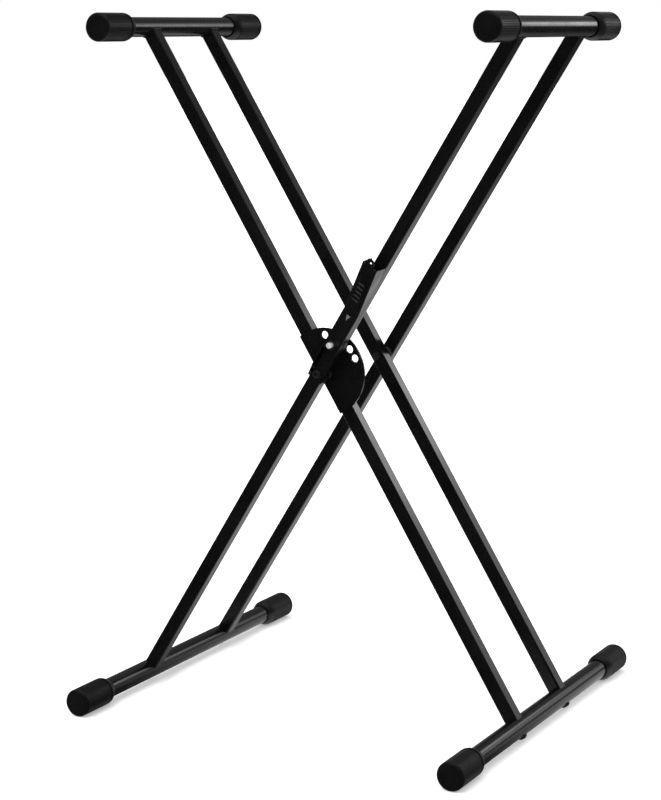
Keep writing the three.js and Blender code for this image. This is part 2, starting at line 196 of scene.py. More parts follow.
# A test of one point, asked of both ends of an edge.
def both(test):
    return lambda first, last: test(first) and test(last)


def extrudeBy(x, y, z):
    bpy.ops.mesh.extrude_region_move(TRANSFORM_OT_translate={"value": (x, y, z)})


def copyPiece(source, name, location=(0, 0, 0), rotation=(0, 0, 0)):
    pick(source)
    bpy.ops.object.duplicate()
    piece = bpy.context.object
    piece.name = name
    piece.rotation_euler = rotation
    piece.location = location
    bake()
    return piece


def rod(radius, length, centre, axis="Y", sides=48):
    freshStart()
    turns = {"X": (0, pi / 2, 0), "Y": (pi / 2, 0, 0), "Z": (0, 0, 0)}
    bpy.ops.mesh.primitive_cylinder_add(
        vertices=sides, radius=radius, depth=length, location=centre, rotation=turns[axis])
    bake()
    return bpy.context.object


def block(size, centre):
    freshStart()
    bpy.ops.mesh.primitive_cube_add(size=1, location=centre)
    bpy.context.object.scale = size
    bake()
    return bpy.context.object


# Turns a profile about the Y axis: a ring of edges is extruded and resized from one (radius, y)
# station to the next, and open ends are filled. A profile that ends where it starts is a ring.
def turnPiece(name, stations, sides=48):
    freshStart()
    radius, y = stations[0]
    bpy.ops.mesh.primitive_circle_add(
        vertices=sides, radius=radius, location=(0, y, 0), rotation=(pi / 2, 0, 0))
    piece = bpy.context.object
    piece.name = name
    bake()
    bpy.ops.object.mode_set(mode="EDIT")
    bpy.ops.mesh.select_mode(type="VERT")
    bpy.ops.mesh.select_all(action="SELECT")
    for nextRadius, nextY in stations[1:]:
        extrudeBy(0, nextY - y, 0)
        if nextRadius != radius:
            ratio = nextRadius / radius
            bpy.ops.transform.resize(value=(ratio, 1, ratio), center_override=(0, nextY, 0))
        radius, y = nextRadius, nextY
    bpy.ops.mesh.select_all(action="SELECT")
    bpy.ops.mesh.remove_doubles(threshold=weldDistance)
    bpy.ops.mesh.select_all(action="SELECT")
    bpy.ops.mesh.fill_holes(sides=0)
    bpy.ops.mesh.select_all(action="SELECT")
    bpy.ops.mesh.normals_make_consistent(inside=False)
    bpy.ops.object.mode_set(mode="OBJECT")
    return piece


def arcStations(centreRadius, centreY, size, start, end, steps):
    stations = []
    for i in range(steps + 1):
        angle = radians(start + (end - start) * i / steps)
        stations.append((centreRadius + size * cos(angle), centreY + size * sin(angle)))
    return stations


# Puts a piece drawn in a frame's own upright place (pivot at the origin) into the stand.
def leanPiece(piece, side):
    pick(piece)
    piece.rotation_euler = (0, side * halfAngle, 0)
    piece.location = pivot
    bake()
    return piece


bodyOfSide = {-1: "inner_frame", 1: "outer_frame"}


def finishPiece(piece, body, slotName, material, *nodes):
    piece.data.materials.clear()
    piece.data.materials.append(material)
    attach(piece, body)
    if nodes:
        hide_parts(*nodes)
    return piece


# Node helpers: a number fills a socket, another node's output is linked to it.
def fillNode(tree, kind, values):
    node = tree.nodes.new(kind)
    for socket, value in values.items():
        if isinstance(value, bpy.types.NodeSocket):
            tree.links.new(value, node.inputs[socket])
        else:
            node.inputs[socket].default_value = value
    return node


def noiseOutput(tree, place, scale, detail, roughness):
    node = fillNode(tree, "ShaderNodeTexNoise",
                    {"Vector": place, "Scale": scale, "Detail": detail, "Roughness": roughness})
    return node.outputs["Fac"]


def rangeOutput(tree, source, span, low, high, kind="SMOOTHSTEP"):
    node = fillNode(tree, "ShaderNodeMapRange", {
        "Value": source, "From Min": span[0], "From Max": span[1], "To Min": low, "To Max": high})
    node.interpolation_type = kind
    return node.outputs["Result"]


def mathOutput(tree, operation, first, second):
    node = fillNode(tree, "ShaderNodeMath", {0: first, 1: second})
    node.operation = operation
    return node.outputs["Value"]


# In each finish, cloud is the noise (scale, detail, roughness) that varies the colour between
# two colours and the gloss between two roughnesses, and bumps are (noise, strength, depth).
powderCoat = {
    "name": "black_powder_coat",      # orange peel under a thin gloss, with faint wiping marks
    "shader": {"Metallic": 0.0, "IOR": 1.55, "Coat Weight": 0.25, "Coat Roughness": 0.12},
    "cloud": (14, 5.0, 0.6),
    "span": (0.35, 0.65),
    "colours": ((0.0018, 0.0018, 0.0019), (0.0034, 0.0034, 0.0036)),
    "roughness": (0.20, 0.30),
    "bumps": (((420, 2.0, 0.5), 0.07, 0.05 * mm), ((2600, 1.0, 0.5), 0.02, 0.01 * mm)),
}
capRubber = {
    "name": "moulded_rubber",         # matt and finely grained, greyer where it is handled
    "shader": {"Metallic": 0.0, "IOR": 1.5, "Sheen Weight": 0.02, "Sheen Roughness": 0.5},
    "cloud": (45, 4.0, 0.6),
    "span": (0.35, 0.65),
    "colours": ((0.0014, 0.0014, 0.0015), (0.0028, 0.0028, 0.0029)),
    "roughness": (0.34, 0.44),
    "bumps": (((1900, 3.0, 0.65), 0.15, 0.05 * mm),),
}
zincPlate = {
    "name": "zinc_plate",             # bright, with fine turning lines and a pale bloom
    "shader": {"Metallic": 0.5},
    "cloud": (160, 4.0, 0.6),
    "span": (0.35, 0.65),
    "colours": ((0.60, 0.62, 0.65), (0.80, 0.81, 0.82)),
    "roughness": (0.18, 0.34),
    "bumps": (((5200, 2.0, 0.5), 0.10, 0.02 * mm),),
}
blackOxide = {
    "name": "black_oxide_steel",      # worn a little lighter in patches
    "shader": {"Metallic": 0.6},
    "cloud": (220, 4.0, 0.65),
    "span": (0.4, 0.75),
    "colours": ((0.014, 0.014, 0.016), (0.045, 0.045, 0.048)),
    "roughness": (0.30, 0.44),
    "bumps": (((4200, 2.0, 0.5), 0.15, 0.02 * mm),),
}
blackNylon = {
    "name": "black_nylon",
    "shader": {"Metallic": 0.0, "IOR": 1.53},
    "cloud": (120, 3.0, 0.5),
    "span": (0.35, 0.65),
    "colours": ((0.016, 0.016, 0.017), (0.024, 0.024, 0.025)),
    "roughness": (0.42, 0.55),
    "bumps": (((3000, 2.0, 0.5), 0.2, 0.03 * mm),),
}
arrowInk = {
    "name": "pale_ink",               # thin enough for the coat's texture to show through
    "shader": {"Metallic": 0.0},
    "cloud": (900, 4.0, 0.7),
    "span": (0.3, 0.6),
    "colours": ((0.05, 0.05, 0.05), (0.15, 0.15, 0.15)),
    "roughness": (0.4, 0.6),
    "bumps": (((420, 2.0, 0.5), 0.18, 0.1 * mm),),
}
paintedRibHighlight = {**arrowInk, "name": "painted_rib_highlight",      # paler paint on the handle's raised ribs: a painted highlight
               "colours": ((0.010, 0.010, 0.010), (0.030, 0.030, 0.030))}
glossSpan = (0.3, 0.7)                # the part of the noise's range that varies the gloss


def makeFinish(look):
    material = bpy.data.materials.new(look["name"])
    material.use_nodes = True
    tree = material.node_tree
    shader = tree.nodes["Principled BSDF"]
    for socket, value in look["shader"].items():
        shader.inputs[socket].default_value = value
    place = tree.nodes.new("ShaderNodeTexCoord").outputs["Object"]
    cloud = noiseOutput(tree, place, *look["cloud"])
    ramp = fillNode(tree, "ShaderNodeValToRGB", {"Fac": cloud})
    for stop, position, colour in zip(ramp.color_ramp.elements, look["span"], look["colours"]):
        stop.position, stop.color = position, (*colour, 1)
    tree.links.new(ramp.outputs["Color"], shader.inputs["Base Color"])
    gloss = rangeOutput(tree, cloud, glossSpan, *look["roughness"], "LINEAR")
    tree.links.new(gloss, shader.inputs["Roughness"])
    under = {}
    for noise, strength, depth in look["bumps"]:
        height = noiseOutput(tree, place, *noise)
        bump = fillNode(tree, "ShaderNodeBump",
                        {"Height": height, "Strength": strength, "Distance": depth, **under})
        under = {"Normal": bump.outputs["Normal"]}
    tree.links.new(under["Normal"], shader.inputs["Normal"])
    return material


coat, rubber, zinc, oxide, nylon, ink, ribHighlightPaint = [makeFinish(look) for look in (
    powderCoat, capRubber, zincPlate, blackOxide, blackNylon, arrowInk, paintedRibHighlight)]
print("finishes ready")


capShape = {
    "radius": 20 * mm,
    "length": 74 * mm,
    "bore": 14.15 * mm,
    "mouth": 15.9 * mm,
    "taper": 13 * mm,         # length over which the mouth flares out to the body
    "edge": 5.5 * mm,         # rounding of the closed end
    "endWall": 4 * mm,
    "ribs": 30,
    "grooveDepth": 0.9 * mm,
    "grooveEdge": 0.4 * mm,
    "mouthEdge": 0.5 * mm,
    "flareSteps": 8,
    "faceRim": 0.86,          # where the shallow dish in the end face starts, as a share of its flat
    "faceFoot": 0.82,
    "faceDish": 0.4 * mm,
    "edgeSoft": 0.16 * mm,
}


def capStations(shape):
    corner = shape["radius"] - shape["edge"]
    body = shape["length"] - shape["edge"]
    rise = shape["radius"] - shape["mouth"]
    soft = shape["mouthEdge"]
    mouth = [(shape["bore"] + soft, 0.0), (shape["mouth"] - soft, 0.0)]
    flare = []
    for i in range(shape["flareSteps"] + 1):
        t = i / shape["flareSteps"]
        flare.append((shape["mouth"] + rise * sin(t * pi / 2), soft + (shape["taper"] - soft) * t))
    edge = arcStations(corner, body, shape["edge"], 0, 90, 7)
    face = [(corner * shape["faceRim"], shape["length"]),
            (corner * shape["faceFoot"], shape["length"] - shape["faceDish"])]
    return mouth + flare + edge + face


def boreStations(shape):
    soft = shape["mouthEdge"]
    return [(shape["bore"], shape["length"] - shape["endWall"]), (shape["bore"], soft),
            (shape["bore"] + soft, 0.0)]


# Every second strip of the straight body is inset and sunk, which leaves the ribs between.
def cutGrooves(piece, shape):
    pick(piece)
    bpy.ops.object.mode_set(mode="EDIT")
    bpy.ops.mesh.select_all(action="DESELECT")
    bpy.ops.object.mode_set(mode="OBJECT")
    low, high = shape["taper"] * 0.9, shape["length"] - shape["edge"] * 0.9
    for face in piece.data.polygons:
        centre = face.center
        onBody = low < centre.y < high and hypot(centre.x, centre.z) > shape["radius"] * 0.95
        column = round((atan2(centre.z, centre.x) / (2 * pi)) * 2 * shape["ribs"] - 0.5)
        face.select = onBody and column % 2 == 0
    bpy.ops.object.mode_set(mode="EDIT")
    bpy.ops.mesh.select_mode(type="FACE")
    bpy.ops.mesh.inset(thickness=shape["grooveEdge"], depth=-shape["grooveDepth"],
                       use_individual=True)
    bpy.ops.object.mode_set(mode="OBJECT")
    return piece


def modelCap(shape):
    stations = boreStations(shape) + capStations(shape)[1:]
    piece = turnPiece("cap_master", stations, sides=2 * shape["ribs"])
    cutGrooves(piece, shape)
    softenEdges(piece, shape["edgeSoft"], segments=2, angle=22)
    return smooth(piece, 40)


def placeCaps():
    master = modelCap(capShape)
    for barName, side in (("top_bar_left", -1), ("foot_bar_right", -1), ("top_bar_right", 1),
                          ("foot_bar_left", 1)):
        for end, turn in (("front", pi), ("rear", 0)):
            node = f"{barName}_cap_{end}"
            low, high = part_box(node)
            mouthY = high.y if end == "front" else low.y
            centre = boxCentre(node)
            place = (centre.x, mouthY, centre.z)
            cap = copyPiece(master, f"{barName}_cap_ribbed_{end}", place, (0, 0, turn))
            finishPiece(cap, bodyOfSide[side], "cap_rubber", rubber, node)
    discard(master)


placeCaps()
print("caps ready")


barShape = {"wall": 1.6 * mm, "sides": 96, "boltHole": 3.4 * mm, "edge": 0.4 * mm}


def modelBar(node, side, boltYs=()):
    size, centre = boxSize(node), boxCentre(node)
    half = size.y / 2
    inner = barRadius - barShape["wall"]
    edge = barShape["edge"]
    stations = [(inner, -half), (barRadius - edge, -half), (barRadius, -half + edge),
                (barRadius, half - edge), (barRadius - edge, half), (inner, half), (inner, -half)]
    bar = turnPiece(f"{node}_tube", stations, barShape["sides"])
    for y in boltYs:
        boolean(bar, rod(barShape["boltHole"], 4 * barRadius, (0, y, 0), "Z"))
    pick(bar)
    bar.rotation_euler = (0, side * halfAngle, 0)
    bar.location = centre
    bake()
    smooth(bar)
    finishPiece(bar, bodyOfSide[side], "paint", coat, node)


modelBar("top_bar_left", -1)
modelBar("top_bar_right", 1)
modelBar("foot_bar_right", -1, (-innerY, innerY))
modelBar("foot_bar_left", 1, (-outerY, outerY))
print("round bars ready")


legShape = {"wall": 1.5 * mm, "corner": 2.8 * mm, "pivotHole": 3.3 * mm, "sleeveHole": 5.3 * mm,
            "pinHole": 4.4 * mm, "bushHole": 6.3 * mm, "rivetHole": 2.8 * mm, "edge": 0.2 * mm}


# A long block loses its ends, its four long edges are rounded and its wall is given a thickness.
def modelTube(name, y):
    tube = block((tubeSide, tubeSide, 2 * legReach), (0, y, 0))
    tube.name = name
    clearSelection("FACE")
    for face in tube.data.polygons:
        face.select = abs(face.normal.z) > 0.9
    bpy.ops.object.mode_set(mode="EDIT")
    bpy.ops.mesh.delete(type="ONLY_FACE")
    selectEdges(tube, lambda first, last: abs(first.z - last.z) > legReach)
    bpy.ops.mesh.bevel(offset=legShape["corner"], segments=6, affect="EDGES")
    bpy.ops.mesh.select_all(action="SELECT")
    bpy.ops.mesh.normals_make_consistent(inside=False)
    bpy.ops.object.mode_set(mode="OBJECT")
    modify(tube, "SOLIDIFY", thickness=legShape["wall"], offset=-1, use_even_offset=True)
    for z in (-legReach, legReach):
        boolean(tube, rod(barRadius + gap, 3 * tubeSide, (0, y, z), "Y", 96))
    return tube


def finishLeg(tube, side, node):
    softenEdges(tube, legShape["edge"], 1, 40)
    leanPiece(smooth(tube, 25), side)
    finishPiece(tube, bodyOfSide[side], "paint", coat, node)


leverHinge = {"s": -3 * mm, "d": -7 * mm}


def modelLegs():
    for end, sign in (("front", -1), ("rear", 1)):
        inner = modelTube(f"inner_leg_tube_{end}", sign * innerY)
        boolean(inner, rod(legShape["sleeveHole"], 2 * tubeSide, (0, sign * innerY, 0)))
        finishLeg(inner, -1, f"inner_leg_{end}")
        outer = modelTube(f"outer_leg_tube_{end}", sign * outerY)
        boolean(outer, rod(legShape["pivotHole"], 2 * tubeSide, (0, sign * outerY, 0)))
        if end == "front":
            wall = legShape["wall"]
            backY = legFrontY + tubeSide
            boolean(outer, rod(legShape["pinHole"], 2 * wall, (0, legFrontY + wall, lockRadius)))
            boolean(outer, rod(legShape["bushHole"], 2 * wall, (0, backY - wall, lockRadius)))
            hingeY = legFrontY - leverHinge["d"]
            boolean(outer, rod(legShape["rivetHole"], 2 * tubeSide, (0, hingeY, leverHinge["s"]), "X"))
        finishLeg(outer, 1, f"outer_leg_{end}")


modelLegs()
print("legs ready")


weldShape = {"height": 1.5 * mm, "reach": 1.5 * mm, "corner": 3.6 * mm, "hollow": 18 * mm,
             "edge": 0.7 * mm}


# The bead is a collar round the leg's end, kept only where it lies on the bar.
def modelWeld():
    reach = tubeSide + 2 * weldShape["reach"]
    weld = block((reach, reach, 2 * barRadius), (0, 0, -barRadius))
    selectEdges(weld, lambda first, last: abs(first.z - last.z) > barRadius)
    bpy.ops.mesh.bevel(offset=weldShape["corner"], segments=5, affect="EDGES")
    bpy.ops.object.mode_set(mode="OBJECT")
    shell = rod(barRadius + weldShape["height"], 4 * tubeSide, (0, 0, 0), "Y", 96)
    boolean(weld, shell, "INTERSECT")
    boolean(weld, rod(barRadius - gap, 4 * tubeSide, (0, 0, 0), "Y", 96))
    boolean(weld, block((weldShape["hollow"], weldShape["hollow"], 4 * barRadius), (0, 0, -barRadius)))
    softenEdges(weld, weldShape["edge"], 3, 35)
    return smooth(weld, 50)


def placeWelds():
    master = modelWeld()
    for side, y, name in ((-1, innerY, "inner"), (1, outerY, "outer")):
        for end, sign in (("front", -1), ("rear", 1)):
            weld = copyPiece(master, f"weld_{name}_{end}", (0, sign * y, legReach))
            leanPiece(weld, side)
            finishPiece(weld, bodyOfSide[side], "paint", coat)
    discard(master)


placeWelds()
print("welds ready")


plateShape = {"radius": 62 * mm, "hole": 5.5 * mm, "pivotHole": 5.3 * mm, "holes": 5,
              "step": radians(16.3), "edge": 0.35 * mm}


# A disc cut straight along the leg's edge, with a fan of lock holes.
def modelPlate():
    low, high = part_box("lock_plate")
    thick, middle = high.y - low.y, (low.y + high.y) / 2
    plate = rod(plateShape["radius"], thick, (0, middle, 0), "Y", 160)
    plate.name = "lock_plate_sheet"
    bpy.ops.object.mode_set(mode="EDIT")
    bpy.ops.mesh.select_all(action="SELECT")
    bpy.ops.mesh.bisect(plane_co=(-tubeSide / 2, 0, 0), plane_no=(-1, 0, 0), clear_outer=True,
                        use_fill=True)
    bpy.ops.object.mode_set(mode="OBJECT")
    boolean(plate, rod(plateShape["pivotHole"], 3 * thick, (0, middle, 0)))
    for k in range(plateShape["holes"]):
        angle = 2 * halfAngle + (k - (plateShape["holes"] - 1) / 2) * plateShape["step"]
        place = (lockRadius * sin(angle), middle, lockRadius * cos(angle))
        boolean(plate, rod(plateShape["hole"], 3 * thick, place))
    softenEdges(plate, plateShape["edge"], 2, 40)
    leanPiece(smooth(plate, 30), -1)
    finishPiece(plate, "inner_frame", "paint", coat, "lock_plate")


modelPlate()
print("lock plate ready")


# The latch lever. s runs up the leg from the pivot, d stands off the leg's front face.
leverShape = {
    "sheet": 1.5 * mm,
    "width": 25 * mm,
    "webStart": 42 * mm,
    "webD": 7 * mm,
    "bendS": 109 * mm,
    "tilt": radians(17.5),
    "endS": 187 * mm,
    "armBack": 5.5 * mm,      # how far the arms reach behind the leg's front face
    "endDepth": 25 * mm,
    "armWaist": 20 * mm,      # where the arms start to narrow towards the hinge
    "endRise": 5 * mm,        # how far the flanges' back corners hang below the square end
    "ear": 8 * mm,            # radius of the arms' rounded ends
    "foldRadius": 2.2 * mm,
    "lipTilt": radians(26),
    "lipLength": 15 * mm,
    "lipWidth": 13 * mm,
    "lipHole": 2.4 * mm,
    "lipRoot": 1.5 * mm,      # how far the lip reaches into the handle
    "edge": 0.3 * mm,
}


def leverPoint(s, d):
    return Vector((0, legFrontY - d, s))


def leverD(s):
    shape = leverShape
    return shape["webD"] + max(0.0, s - shape["bendS"]) * tan(shape["tilt"])


# The flat blank of the web is creased at the bend, its sides are folded back as flanges, and the
# flanges run on below the web as the two arms of the fork.
def leverSheet():
    shape = leverShape
    half, near = shape["width"] / 2, 0.01 * mm
    freshStart()
    middleS = (shape["webStart"] + shape["endS"]) / 2
    bpy.ops.mesh.primitive_plane_add(
        size=1, location=leverPoint(middleS, shape["webD"]), rotation=(pi / 2, 0, 0))
    sheet = bpy.context.object
    sheet.name = "latch_lever_folded"
    sheet.scale = (shape["width"], shape["endS"] - shape["webStart"], 1)
    bake()
    bpy.ops.object.mode_set(mode="EDIT")
    bpy.ops.mesh.select_all(action="SELECT")
    bpy.ops.mesh.bisect(plane_co=(0, 0, shape["bendS"]), plane_no=(0, 0, 1))
    selectVertices(sheet, lambda v: v.z > shape["endS"] - near)
    bpy.ops.transform.translate(value=(0, shape["webD"] - leverD(shape["endS"]), 0))
    for sign in (-1, 1):
        selectEdges(sheet, both(lambda v: abs(v.x - sign * half) < near))
        extrudeBy(0, shape["webD"] + shape["armBack"], 0)
    frontAtEnd = legFrontY - leverD(shape["endS"])
    selectVertices(sheet, lambda v: v.z > shape["endS"] - near and v.y > frontAtEnd + near)
    depth = shape["endDepth"] - shape["webD"] - shape["armBack"]
    drop = shape["endDepth"] * sin(shape["tilt"]) - shape["endRise"]
    bpy.ops.transform.translate(value=(0, depth * cos(shape["tilt"]), drop))
    for sign in (-1, 1):
        selectEdges(sheet, both(lambda v: abs(v.x - sign * half) < near
                                and abs(v.z - shape["webStart"]) < near))
        extrudeBy(0, 0, shape["armWaist"] - shape["webStart"])
        extrudeBy(0, 0, leverHinge["s"] - shape["armWaist"])
    ear = shape["ear"]
    hingeY = legFrontY - leverHinge["d"]
    selectVertices(sheet, lambda v: abs(v.z - leverHinge["s"]) < near and v.y < legFrontY)
    bpy.ops.transform.translate(value=(0, hingeY - ear - (legFrontY - shape["webD"]), 0))
    selectVertices(sheet, lambda v: abs(v.z - leverHinge["s"]) < near and v.y > legFrontY)
    bpy.ops.transform.translate(value=(0, hingeY + ear - (legFrontY + shape["armBack"]), 0))
    for sign in (-1, 1):
        selectEdges(sheet, both(lambda v: abs(v.x - sign * half) < near
                                and abs(v.z - leverHinge["s"]) < near))
        extrudeBy(0, 0, -ear)
    selectVertices(sheet, lambda v: v.z < leverHinge["s"] - ear + near)
    bpy.ops.mesh.bevel(offset=ear - near, segments=9, affect="VERTICES")
    bpy.ops.mesh.select_all(action="SELECT")
    bpy.ops.mesh.normals_make_consistent(inside=False)
    bpy.ops.object.mode_set(mode="OBJECT")
    return sheet


# Folds get their bend radius while the sheet is still a single skin.
def foldSheet(sheet):
    shape = leverShape
    modify(sheet, "BEVEL", width=shape["foldRadius"], segments=5, limit_method="ANGLE",
           angle_limit=radians(12))
    pick(sheet)
    webFaces = [f for f in sheet.data.polygons if abs(f.normal.y) > 0.8]
    if sum(f.normal.y * f.area for f in webFaces) > 0:
        bpy.ops.object.mode_set(mode="EDIT")
        bpy.ops.mesh.select_all(action="SELECT")
        bpy.ops.mesh.flip_normals()
        bpy.ops.object.mode_set(mode="OBJECT")
    return modify(sheet, "SOLIDIFY", thickness=shape["sheet"], offset=-1, use_even_offset=True)


leverRivet = {"hole": 2.8 * mm, "shank": 2.5 * mm, "collar": 3.6 * mm, "collarThick": 1 * mm,
              "collarEdge": 0.2 * mm, "standIn": 1.8 * mm, "standOut": 0.2 * mm,
              "head": 4.3 * mm, "rise": 1.3 * mm}


def drillHinge(lever):
    hinge = leverPoint(leverHinge["s"], leverHinge["d"])
    return boolean(lever, rod(leverRivet["hole"], 2 * leverShape["width"], hinge, "X"))


slotShape = {"radius": 4.4 * mm, "travel": 2.3 * mm, "through": 6 * mm}


# The slot lets the web swing past the straight lock pin.
def cutPinSlot(lever):
    radius, travel, through = slotShape["radius"], slotShape["travel"], slotShape["through"]
    low = leverPoint(lockRadius, leverShape["webD"])
    up = Vector((0, 0, travel))
    tool = rod(radius, through, low)
    boolean(tool, rod(radius, through, low + up), "UNION")
    boolean(tool, block((2 * radius, through, travel), low + up / 2), "UNION")
    return boolean(lever, tool)


# Finger lip: a round-ended tongue with a small hole, bent out from the end of the handle.
def addLip(lever):
    shape = leverShape
    half = shape["lipWidth"] / 2
    straight = shape["lipLength"] - half
    sheet, root = shape["sheet"], shape["lipRoot"]
    lip = block((shape["lipWidth"], sheet, straight + 2 * root), (0, sheet / 2, straight / 2 - root))
    boolean(lip, rod(half, sheet, (0, sheet / 2, straight), "Y", 64), "UNION")
    boolean(lip, rod(shape["lipHole"], 3 * sheet, (0, sheet / 2, straight)))
    pick(lip)
    lip.rotation_euler = (shape["lipTilt"], 0, 0)
    lip.location = leverPoint(shape["endS"] - root, leverD(shape["endS"] - root))
    bake()
    return boolean(lever, lip, "UNION")


# The last two entries pick the grip faces that get the painted highlight: how far above the pad they
# stand, and how far short of the handle's end they stop.
gripShape = {"ribs": 5, "pitch": 7.2 * mm, "first": 129 * mm, "length": 10 * mm, "thick": 2.2 * mm,
             "rise": 1.0 * mm, "padRise": 1.0 * mm, "padWidth": 15 * mm, "padEnd": 6.5 * mm,
             "padCorner": 7.3 * mm, "edgeShare": 0.8, "paintedHighlightAbove": 0.15 * mm, "paintedHighlightShort": 8 * mm}


# Raised pad with rounded ends on the handle, with ribs pressed across it.
def addGrip(lever):
    grip, tilt = gripShape, leverShape["tilt"]
    length = (grip["ribs"] - 1) * grip["pitch"] + 2 * grip["padEnd"]
    middle = grip["first"] + (grip["ribs"] - 1) * grip["pitch"] / 2 * cos(tilt)
    pad = block((grip["padWidth"], 2 * grip["padRise"], length), (0, 0, 0))
    selectEdges(pad, lambda first, last: abs(first.y - last.y) > grip["padRise"])
    bpy.ops.mesh.bevel(offset=grip["padCorner"], segments=8, affect="EDGES")
    bpy.ops.object.mode_set(mode="OBJECT")
    softenEdges(pad, grip["padRise"] * grip["edgeShare"], 3, 50)
    for k in range(grip["ribs"]):
        z = (k - (grip["ribs"] - 1) / 2) * grip["pitch"]
        rib = block((grip["length"], 2 * (grip["padRise"] + grip["rise"]), grip["thick"]), (0, 0, z))
        softenEdges(rib, grip["rise"] * grip["edgeShare"], 3)
        boolean(pad, rib, "UNION")
    pick(pad)
    pad.rotation_euler = (tilt, 0, 0)
    pad.location = leverPoint(middle, leverD(middle))
    bake()
    return boolean(lever, pad, "UNION")


# The faces of the grip that stand above its pad, which get the paler paint as a painted highlight.
def raisedFaces(lever):
    grip, faces = gripShape, []
    for face in lever.data.polygons:
        middle = face.center
        proud = (legFrontY - middle.y - leverD(middle.z)) * cos(leverShape["tilt"])
        onHandle = leverShape["bendS"] < middle.z < leverShape["endS"] - grip["paintedHighlightShort"]
        if onHandle and proud > grip["padRise"] + grip["paintedHighlightAbove"]:
            faces.append(face.index)
    return faces


def modelLever():
    lever = foldSheet(leverSheet())
    cleanMesh(lever)
    drillHinge(lever)
    cutPinSlot(lever)
    addLip(lever)
    addGrip(lever)
    softenEdges(lever, leverShape["edge"], 2, 32)
    ribs = raisedFaces(lever)
    leanPiece(smooth(lever, 35), 1)
    finishPiece(lever, "lever", "paint", coat, "latch_lever")
    # The raised grip faces take the paler paint: a painted highlight on the ribs.
    lever.data.materials.append(ribHighlightPaint)
    for index in ribs:
        lever.data.polygons[index].material_index = 1


modelLever()


arrowShape = {"s": 99 * mm, "radius": 4.6 * mm, "rise": 0.12 * mm, "edge": 0.08 * mm,
              "narrow": 0.8, "tall": 1.25}


# Arrow head printed below the bend, pointing down at the lock pin.
def modelArrow():
    arrow = arrowShape
    freshStart()
    bpy.ops.mesh.primitive_cylinder_add(vertices=3, radius=arrow["radius"], depth=2 * arrow["rise"],
                                        rotation=(pi / 2, 0, 0))
    piece = bpy.context.object
    piece.name = "lever_arrow_mark"
    bake()
    piece.scale = (arrow["narrow"], 1, arrow["tall"])
    piece.rotation_euler = (0, pi, 0)
    piece.location = leverPoint(arrow["s"], leverD(arrow["s"]))
    bake()
    softenEdges(piece, arrow["edge"], 2, 30)
    leanPiece(piece, 1)
    finishPiece(piece, "lever", "zinc", ink)


modelArrow()
print("lever ready")


pinShape = {"radius": 4 * mm, "groove": 3.1 * mm, "collar": 6.5 * mm, "collarEdge": 0.2 * mm,
            "collarFront": 2.3 * mm, "collarBack": 0.3 * mm, "centre": 0.6 * mm, "tail": 3.0 * mm,
            "tailEdge": 1.0 * mm, "grooveGap": 0.1 * mm, "grooveEdge": 0.15 * mm}
pinNose = [(0.6 * mm, 0.0), (2.0 * mm, 0.05 * mm), (3.2 * mm, 0.3 * mm), (4 * mm, 1.0 * mm)]


# Turned pin: a rounded nose, a groove for its clip, and a collar that the lever's web lifts.
def modelLockPin():
    shape, radius = pinShape, pinShape["radius"]
    low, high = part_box("lock_pin")
    clipLow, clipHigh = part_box("pin_clip")
    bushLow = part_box("pin_bush")[0].y
    front, back = bushLow - shape["collarFront"], bushLow - shape["collarBack"]
    small, collar, edge = shape["groove"], shape["collar"], shape["collarEdge"]
    stations = [(r, low.y + y) for r, y in pinNose] + [
        (radius, clipLow.y - shape["grooveEdge"]), (small, clipLow.y - shape["grooveGap"]),
        (small, clipHigh.y + shape["grooveGap"]), (radius, clipHigh.y + shape["grooveEdge"]),
        (radius, front - edge), (collar - edge, front), (collar, front + edge),
        (collar, back - edge), (collar - edge, back), (radius, back + gap),
        (radius, high.y - shape["tailEdge"]), (shape["tail"], high.y), (shape["centre"], high.y)]
    pin = turnPiece("lock_pin_turned", stations, 64)
    placeOnPin(pin, 35)
    finishPiece(pin, "pin", "zinc", zinc, "lock_pin")


# Lifts a piece drawn on the pivot's axis to the pin's place on the leg, and leans it.
def placeOnPin(piece, angle):
    pick(piece)
    piece.location = (0, 0, lockRadius)
    bake()
    leanPiece(smooth(piece, angle), 1)


clipShape = {"bore": 3.4 * mm, "outer": 5.9 * mm, "mouth": 3.4 * mm, "edge": 0.15 * mm}


# The clip is an open ring with softened edges.
def modelClip():
    low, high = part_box("pin_clip")
    bore, outer = clipShape["bore"], clipShape["outer"]
    stations = [(bore, low.y), (outer, low.y), (outer, high.y), (bore, high.y), (bore, low.y)]
    clip = turnPiece("pin_clip_open", stations, 64)
    middle = (low.y + high.y) / 2
    boolean(clip, block((outer, 4 * (high.y - low.y), clipShape["mouth"]), (-outer, middle, 0)))
    softenEdges(clip, clipShape["edge"], 2, 40)
    placeOnPin(clip, 35)
    finishPiece(clip, "pin", "black_steel", oxide, "pin_clip")


washerEdge = 0.2 * mm


# A washer or spacer that fills a node's length along the pivot's axis, z up its leg.
def modelWasher(name, node, bore, outer, body, slotName, material, z=0.0):
    low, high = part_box(node)
    edge = washerEdge
    stations = [(bore, low.y), (outer - edge, low.y), (outer, low.y + edge), (outer, high.y - edge),
                (outer - edge, high.y), (bore, high.y), (bore, low.y)]
    washer = turnPiece(name, stations, 64)
    pick(washer)
    washer.location = (0, 0, z)
    bake()
    leanPiece(smooth(washer, 35), 1)
    finishPiece(washer, body, slotName, material, node)


springShape = {"wire": 0.45 * mm, "turns": 4, "radius": 5.5 * mm, "stepsPerTurn": 40, "pressed": 0.31}
